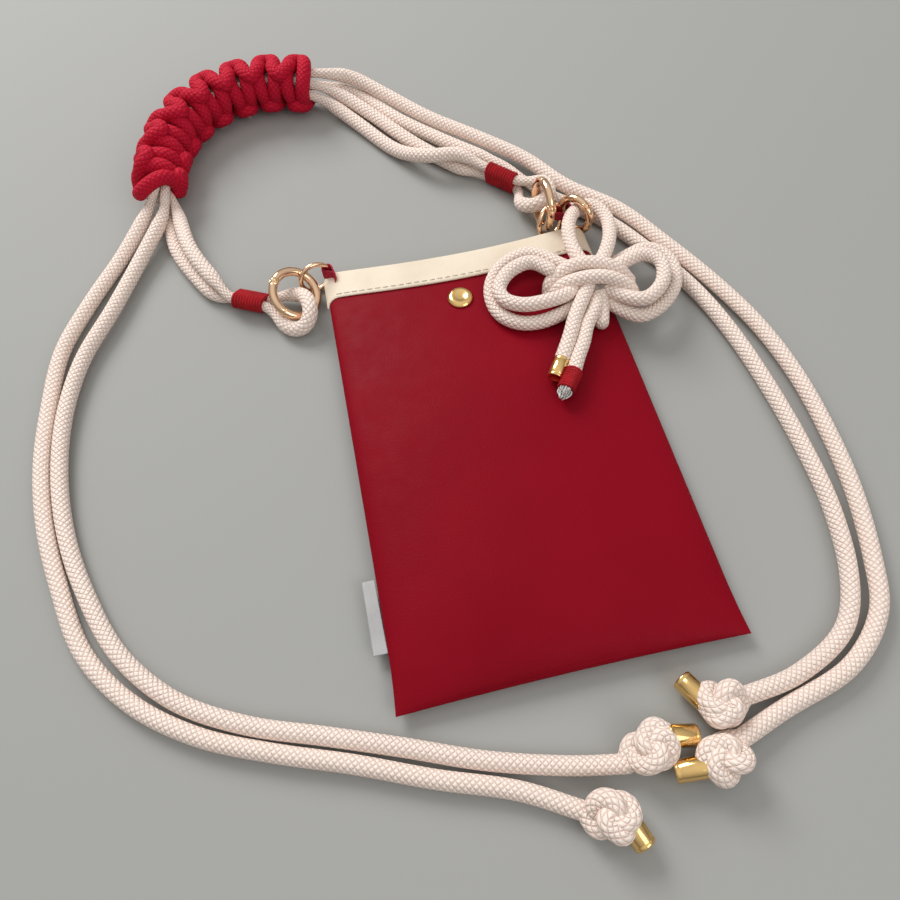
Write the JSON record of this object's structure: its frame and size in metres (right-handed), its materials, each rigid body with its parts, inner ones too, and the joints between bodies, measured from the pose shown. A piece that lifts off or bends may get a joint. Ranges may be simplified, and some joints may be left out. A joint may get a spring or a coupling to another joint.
{
  "type": "pouch",
  "caption": "Flat leather crossbody pouch lying on its back, with a doubled cord strap, braided grip, spring gate rings and a cord bow charm",
  "frame": {"origin": "on the flat back face of the pouch, at the middle of the pouch's width and length", "axes": "+X across the pouch to the right, +Y along the pouch toward its mouth, +Z out of the front, up when it lies on its back"},
  "size_m": [0.2854, 0.3471, 0.0244],
  "materials": {
    "red_leather": "smooth, soft sheen",
    "cream_binding": "matte tape with topstitch",
    "cream_cord": "braided cord, matte",
    "crimson_braid": "woven cord, matte",
    "red_thread": "wound thread",
    "red_webbing": "woven tape",
    "rose_metal": "polished, rose tint",
    "gold_metal": "polished",
    "grey_label": "bare woven tape",
    "white_fibre": "frayed fibre ends"
  },
  "bodies": {
    "pouch": {"front_panel": "red_leather", "back_panel": "red_leather", "front_binding": "cream_binding", "back_binding": "cream_binding", "snap_cap": "gold_metal", "snap_socket": "gold_metal", "snap_stud": "gold_metal", "snap_back_cap": "gold_metal", "side_label": "grey_label", "left_tab": "red_webbing", "right_tab": "red_webbing", "left_tab_ring": "gold_metal", "right_tab_ring": "gold_metal", "left_wrap": "red_thread", "right_wrap": "red_thread", "grip_braid_a": "crimson_braid", "grip_braid_b": "crimson_braid", "strap_cord_a": "cream_cord", "strap_cord_b": "cream_cord", "bow_ferrule": "gold_metal", "bow_tail_wrap": "red_thread", "bow_tail_tip": "white_fibre", "bow_knot": "cream_cord", "left_gate_ring": "rose_metal", "left_gate_pin": "rose_metal", "right_gate_ring": "rose_metal", "right_gate_pin": "rose_metal", "charm_gate_ring": "rose_metal", "charm_gate_pin": "rose_metal", "bow_left_loop_outer": "cream_cord", "bow_left_loop_inner": "cream_cord", "bow_right_loop_outer": "cream_cord", "bow_right_loop_inner": "cream_cord", "bow_hanging_loop": "cream_cord", "bow_left_tail": "cream_cord", "bow_right_tail": "cream_cord", "left_outer_knot": "cream_cord", "left_inner_knot": "cream_cord", "right_outer_knot": "cream_cord", "right_inner_knot": "cream_cord", "left_outer_end_cup": "gold_metal", "left_inner_end_cup": "gold_metal", "right_outer_end_cup": "gold_metal", "right_inner_end_cup": "gold_metal"},
    "left_gate_body": {"left_gate": "rose_metal"},
    "right_gate_body": {"right_gate": "rose_metal"},
    "charm_gate_body": {"charm_gate": "rose_metal"}
  },
  "joints": [
    {"name": "left_gate_hinge", "type": "hinge", "parent": "pouch", "child": "left_gate_body", "pos_m": [-0.07282, 0.08366, 0.01289], "axis": [0.4611, -0.334, 0.8221], "range_deg": [0, 22], "stiffness_Nm_per_rad": 0.0004, "springref_deg": -8.02},
    {"name": "right_gate_hinge", "type": "hinge", "parent": "pouch", "child": "right_gate_body", "pos_m": [0.04106, 0.09072, 0.01615], "axis": [-0.9948, -0.039, 0.094], "range_deg": [0, 22], "stiffness_Nm_per_rad": 0.0004, "springref_deg": -8.02},
    {"name": "charm_gate_hinge", "type": "hinge", "parent": "pouch", "child": "charm_gate_body", "pos_m": [0.05533, 0.08984, 0.0148], "axis": [0.8101, 0.5678, -0.1462], "range_deg": [0, 18], "stiffness_Nm_per_rad": 0.0004, "springref_deg": -8.02}
  ]
}
